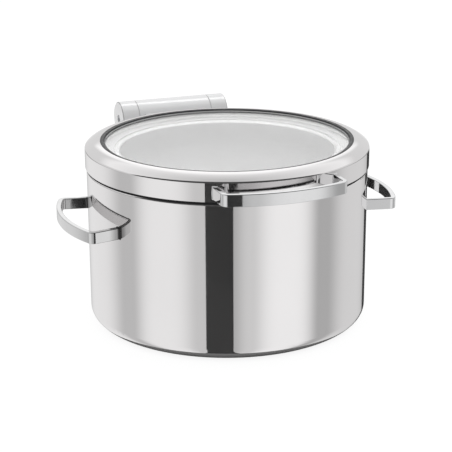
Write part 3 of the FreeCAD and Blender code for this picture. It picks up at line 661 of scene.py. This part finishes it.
# %% The inset's rim is rubbed bright above a height
RIM_LOW = 0.2138
RIM_FADE = 0.0012
RIM_ROUGHNESS = 0.2
WALL_METAL = 0.3
RIM_METAL = 0.95
rubbed = ramp_between(tree, inset_height, RIM_LOW, RIM_LOW + RIM_FADE)
sanded = ramp_between(tree, sand, *WEAR_SPAN, 0.42, 0.56)
tree.links.new(mixed(tree, rubbed, sanded, RIM_ROUGHNESS), shader.inputs["Roughness"])
tree.links.new(mixed(tree, rubbed, WALL_METAL, RIM_METAL), shader.inputs["Metallic"])
print("rim of the inset from", RIM_LOW)

# %% [markdown]
# ### Hardware and dampers
# Screws, nuts, studs and plates are zinc-plated, and the dampers are turned aluminium. They are
# small and mostly hidden, so one noise each is enough. For the dampers it is squeezed along the
# hinge, which makes fine turning rings.

# %% Plain hardware and damper metal
TURNING_SQUEEZE = (2400, 30, 30)
hardware, tree, shader = new_finish("zinc_hardware", Metallic=1.0)
spangle = noise(tree, own_place(tree), scale=600.0)
roughened(tree, shader, spangle, 0.28, 0.42)
coloured(tree, shader, spangle, (0.58, 0.59, 0.61), (0.68, 0.69, 0.70))
damper, tree, shader = new_finish("damper_aluminium", Metallic=1.0)
turning = noise(tree, stretched(tree, TURNING_SQUEEZE), scale=1.0, detail=2.0)
roughened(tree, shader, turning, 0.34, 0.46)
coloured(tree, shader, turning, (0.66, 0.66, 0.67), (0.74, 0.74, 0.75))
print("finishes", hardware.name, damper.name)

# %% [markdown]
# ### Glass
# The lid's glass is clear and flat, with a breath of haze left by wiping. A see-through sheet
# without thickness would be quicker, but it wouldn't bend or double the light. The CAD glass is a
# real slab, so full transmission and the refractive index of glass are enough.

# %% Glass
HAZE_SPAN = (0.5, 0.8)
glass, tree, shader = new_finish("clear_glass", **{"Transmission Weight": 1.0, "IOR": 1.5,
                                                   "Base Color": (*grey(0.98), 1)})
haze = noise(tree, own_place(tree), scale=22.0, detail=4.0, roughness=0.65)
roughened(tree, shader, haze, 0.0, 0.03, HAZE_SPAN)
print("finish", glass.name)

# %% [markdown]
# ### Silicone
# The gasket round the glass is dark silicone and the seal under the lid is a pale one. The gasket's
# colour turns paler at its inner edge, which keeps its dark line thin at the rear of the glass.
# That band could be a piece of its own; here the colour changes within half a millimetre of the
# gasket's inner radius.

# %% Dark silicone
INNER_BAND_START = 0.0001
INNER_BAND_END = 0.0004
INNER_BAND_TONE = 0.5
gasket_inner = min(distances("glass_gasket"))
silicone, tree, shader = new_finish("dark_silicone", **{"Specular IOR Level": 0.6})
bloom = noise(tree, own_place(tree), scale=180.0)
roughened(tree, shader, bloom, 0.34, 0.5)
bumped(tree, shader, bloom, strength=0.1, distance=0.0003)
# The colour is paler within half a millimetre of the gasket's inner radius.
paler_inner_band = ramp_between(tree, from_axis(tree), gasket_inner + INNER_BAND_START, gasket_inner + INNER_BAND_END,
                        1.0, 0.0)
dark_tone = tinted(tree, bloom, (0.022, 0.022, 0.024), (0.04, 0.04, 0.042))
coloured(tree, shader, paler_inner_band, dark_tone, grey(INNER_BAND_TONE))
print("finish", silicone.name, "with a cut edge at", round(gasket_inner, 5))

# %% Pale silicone
pale, tree, shader = new_finish("pale_silicone", **{"Specular IOR Level": 0.4})
chalk = noise(tree, own_place(tree), scale=160.0)
roughened(tree, shader, chalk, 0.42, 0.58)
coloured(tree, shader, chalk, (0.92, 0.92, 0.905), (0.96, 0.96, 0.945))
bumped(tree, shader, chalk, strength=0.1, distance=0.0003)
print("finish", pale.name)

# %% [markdown]
# ## Dressing the CAD nodes
# Each node arrives with a slot of the record. Most wear the finish of their slot, and a few have
# one of their own. A material could be set on each node by hand; two tables keep the choice in one
# place, and the loop only swaps materials, so no CAD mesh is changed.

# %% Put the finishes on the CAD nodes
FINISH_OF_SLOT = {
    "polished_steel": mirror,
    "satin_steel": satin,
    "inset_steel": blasted,
    "plain_steel": hardware,
    "damper_metal": damper,
    "clear_glass": glass,
    "dark_silicone": silicone,
    "pale_silicone": pale,
}
FINISH_OF_NODE = {
    "left_handle": shaded_bar,
    "right_handle": bar_steel,
    "lid_handle": bar_steel,
    "deck_ring": deck_steel,
    "glass_retainer": deck_steel,
    "base_plate": base_steel,
    "hinge_cap_left": cap_steel,
    "hinge_cap_right": cap_steel,
}
for name, node in nodes.items():
    for slot in node.material_slots:
        slot.material = FINISH_OF_NODE.get(name) or FINISH_OF_SLOT[slot.material.name]
    print(name, "wears", node.material_slots[0].material.name)

# %% [markdown]
# ## A dark ring of painted shade in the seam
# The lid closes on a soft black ring that lies on the kettle's shoulder. It is painted shade put
# into the gap, and it draws the dark line of the seam. A torus would be round; this ring is flat
# and hooks a little over the rounded shoulder, so the points of its section are turned about the
# axis in bmesh.

# %% Helpers for new pieces
def finished_piece(name, mesh, finish, body):
    """A bmesh made into an object that wears a finish and rides a body."""
    data = bpy.data.meshes.new(name)
    mesh.to_mesh(data)
    mesh.free()
    data.materials.append(finish)
    piece = bpy.data.objects.new(name, data)
    bpy.context.scene.collection.objects.link(piece)
    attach(piece, body)
    print(name, "has", len(data.polygons), "faces and rides the", body)


def skin(mesh, rounds):
    """Faces between closed rounds of corners, each to the next and the last to the first."""
    for here, there in zip(rounds, rounds[1:] + rounds[:1]):
        for index in range(len(here)):
            after = (index + 1) % len(here)
            mesh.faces.new((here[index], there[index], there[after], here[after])).smooth = True
    bmesh.ops.recalc_face_normals(mesh, faces=mesh.faces)


# %% Rings turned from a section
RING_STEPS = 192


def arc(middle, size, start, end, steps):
    """Points of a circle in a section, from one angle to another."""
    angles = [start + (end - start) * step / steps for step in range(steps + 1)]
    return [(middle[0] + size * math.cos(angle), middle[1] + size * math.sin(angle))
            for angle in angles]


def turned_ring(name, section, finish, body):
    """A closed section of (radius, height) points turned about the kettle's axis."""
    mesh = bmesh.new()
    rounds = []
    for step in range(RING_STEPS):
        angle = step * math.tau / RING_STEPS
        rounds.append([mesh.verts.new((radius * math.cos(angle), radius * math.sin(angle), high))
                       for radius, high in section])
    skin(mesh, rounds)
    finished_piece(name, mesh, finish, body)


# %% Section of the seam's shade ring
SEAM_GAP = 0.0020
SHOULDER_ROUND = 0.0030
SHOULDER_STEPS = 6
SHADE_RING_WIDTH = 0.0065
SHADE_RING_OVERHANG = 0.0003
SHADE_RING_PLAY = 0.0002
SHADE_RING_HOOK = math.radians(44)
SHADE_RING_EDGE = 0.0005
EDGE_STEPS = 4
lid_low = min(corner.co.z for corner in nodes["lid_ring"].data.vertices)
shoulder = lid_low - SEAM_GAP
outer = shell_reach + SHADE_RING_OVERHANG
inner = outer - SHADE_RING_WIDTH
top = lid_low - SHADE_RING_PLAY
section = arc((shell_reach - SHOULDER_ROUND, shoulder - SHOULDER_ROUND), SHOULDER_ROUND,
              math.pi / 2, math.pi / 2 - SHADE_RING_HOOK, SHOULDER_STEPS)
section += [(outer, section[-1][1])]
section += arc((outer - SHADE_RING_EDGE, top - SHADE_RING_EDGE), SHADE_RING_EDGE, 0, math.pi / 2, EDGE_STEPS)
section += [(inner, top), (inner, shoulder)]
print("buffer ring from", round(inner, 4), "to", round(outer, 4), "top", round(top, 4))

# %% Shade ring in matt black
# Painted shade: the black ring stands in for the shade inside the gap between lid and shoulder.
seam_shade_black, tree, shader = new_finish("matt_black_seam_shade", **{"Specular IOR Level": 0.12})
dust = noise(tree, own_place(tree), scale=240.0)
roughened(tree, shader, dust, 0.6, 0.8)
coloured(tree, shader, dust, (0.010, 0.010, 0.011), (0.020, 0.020, 0.021))
turned_ring("seam_shade_ring", section, seam_shade_black, "kettle")

# %% [markdown]
# ## The gasket's bead
# The glass gasket has a soft bead that stands up against the lip of the lid, and it draws the thin
# dark line round the front of the glass. A dark band in the glass's own finish would lie too deep.
# The bead is a flat ring with one rounded edge, so it is turned like the buffer ring, and it rides
# the lid.

# %% Gasket bead
BEAD_WIDTH = 0.0040
BEAD_PLAY = 0.0001
BEAD_SINK = 0.0003
BEAD_ROUND = 0.0004
outer = min(distances("lid_ring")) - BEAD_PLAY
inner = outer - BEAD_WIDTH
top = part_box("lid_ring")[1][2] - BEAD_SINK
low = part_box("glass_gasket")[1][2] - BEAD_PLAY
section = [(outer, low), (outer, top)]
section += arc((inner + BEAD_ROUND, top - BEAD_ROUND), BEAD_ROUND, math.pi / 2, math.pi, EDGE_STEPS)
section += [(inner, low)]
turned_ring("gasket_bead", section, silicone, "lid")
print("bead from", round(inner, 4), "to", round(outer, 4), "top", round(top, 4))

# %% [markdown]
# ## Weld beads at the handle feet
# Each bar is welded all round where it meets the wall. A bevelled curve could follow the joint, but
# then the bead would be a smooth wire. Here a tube is run round the foot in bmesh, and its radius
# swells and sinks like a weld. The left handle's welds take its own finish, so that the dark at its
# feet isn't broken by a bright line.

# %% Where the feet are
TOUCH = 0.00004


def feet_of(handle, wall):
    """Angle and height limits of a handle's two feet, from its corners that touch the wall."""
    touching = [corner.co for corner in handle.data.vertices
                if abs(math.hypot(corner.co.x, corner.co.y) - wall) < TOUCH]
    middle = sum(touching, Vector()) / len(touching)
    bearing = math.atan2(middle.y, middle.x)
    turned = [((math.atan2(spot.y, spot.x) - bearing + math.pi) % math.tau - math.pi, spot.z)
              for spot in touching]
    for side in (-1, 1):
        foot = [(angle, high) for angle, high in turned if angle * side > 0]
        angles = [angle for angle, high in foot]
        highs = [high for angle, high in foot]
        yield bearing + min(angles), bearing + max(angles), min(highs), max(highs)


# %% The way round a foot
WELD_STEP = 0.0006


def route_round(wall, foot):
    """Angles and heights along the outline of a foot, in short steps."""
    first, last, low, high = foot
    corners = [(first, low), (last, low), (last, high), (first, high)]
    for (angle, level), (next_angle, next_level) in zip(corners, corners[1:] + corners[:1]):
        length = math.hypot((next_angle - angle) * wall, next_level - level)
        steps = max(2, round(length / WELD_STEP))
        for step in range(steps):
            yield (angle + (next_angle - angle) * step / steps,
                   level + (next_level - level) * step / steps)


# %% A weld bead
WELD_RADIUS = 0.0008
WELD_SIDES = 8
RIPPLE = 0.05
RIPPLE_LENGTH = 0.0016


def weld_round(name, wall, foot, finish, body):
    """A weld bead round a foot, on the wall of a cylinder."""
    first, last, low, high = foot
    middle = Vector(((first + last) / 2 * wall, (low + high) / 2))
    sides = [side * math.tau / WELD_SIDES for side in range(WELD_SIDES)]
    mesh = bmesh.new()
    rounds = []
    for number, (angle, level) in enumerate(route_round(wall, foot)):
        ripple = RIPPLE * math.sin(number * WELD_STEP * math.tau / RIPPLE_LENGTH)
        radius = WELD_RADIUS * (1 + ripple)
        outward = Vector((math.cos(angle), math.sin(angle), 0))
        sideways = Vector((-math.sin(angle), math.cos(angle), 0))
        away = (Vector((angle * wall, level)) - middle).normalized()
        away_on_wall = sideways * away.x + Vector((0, 0, 1)) * away.y
        spot = outward * wall + Vector((0, 0, level))
        rounds.append([mesh.verts.new(spot + radius * (outward * math.cos(side)
                                                       + away_on_wall * math.sin(side)))
                       for side in sides])
    skin(mesh, rounds)
    finished_piece(name, mesh, finish, body)


# %% Welds of the three handles
lid_reach = max(distances("lid_ring"))
for handle, wall, finish, body in (("left_handle", shell_reach, shaded_bar, "kettle"),
                                   ("right_handle", shell_reach, satin, "kettle"),
                                   ("lid_handle", lid_reach, satin, "lid")):
    for number, foot in enumerate(feet_of(nodes[handle], wall), start=1):
        weld_round(f"{handle}_weld_{number}", wall, foot, finish, body)

# %% [markdown]
# ## A strip light for the hinge
# The satin hinge shows a soft bright line along its top, which the mirror of the lid doesn't show.
# The whole tent could be made brighter there, but then the lid would shine too. A strip lamp that
# only lights the hinge gives it.

# %% Strip light
STRIP_WAY = Vector((0.337, 0.348, 0.875))
STRIP_DISTANCE = 0.9
STRIP_LENGTH = 1.4
STRIP_WIDTH = 0.14
STRIP_POWER = 2.0
hinge_low, hinge_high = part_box("hinge_barrel")
hinge_top = Vector((0, (hinge_low[1] + hinge_high[1]) / 2, hinge_high[2]))
strip_data = bpy.data.lights.new("hinge_strip", "AREA")
strip_data.shape = "RECTANGLE"
strip_data.size = STRIP_LENGTH
strip_data.size_y = STRIP_WIDTH
strip_data.energy = STRIP_POWER
strip = bpy.data.objects.new("hinge_strip", strip_data)
strip.location = hinge_top + STRIP_WAY * STRIP_DISTANCE
strip.rotation_euler = STRIP_WAY.to_track_quat("Z", "Y").to_euler()
strip.visible_camera = False
strip.visible_diffuse = False
bpy.context.scene.collection.objects.link(strip)
lit_by_strip = bpy.data.collections.new("lit_by_strip")
for name in ("hinge_barrel", "hinge_bracket", "hinge_cap_left", "hinge_cap_right"):
    lit_by_strip.objects.link(nodes[name])
strip.light_linking.receiver_collection = lit_by_strip
print("strip light at", tuple(round(value, 3) for value in strip.location))
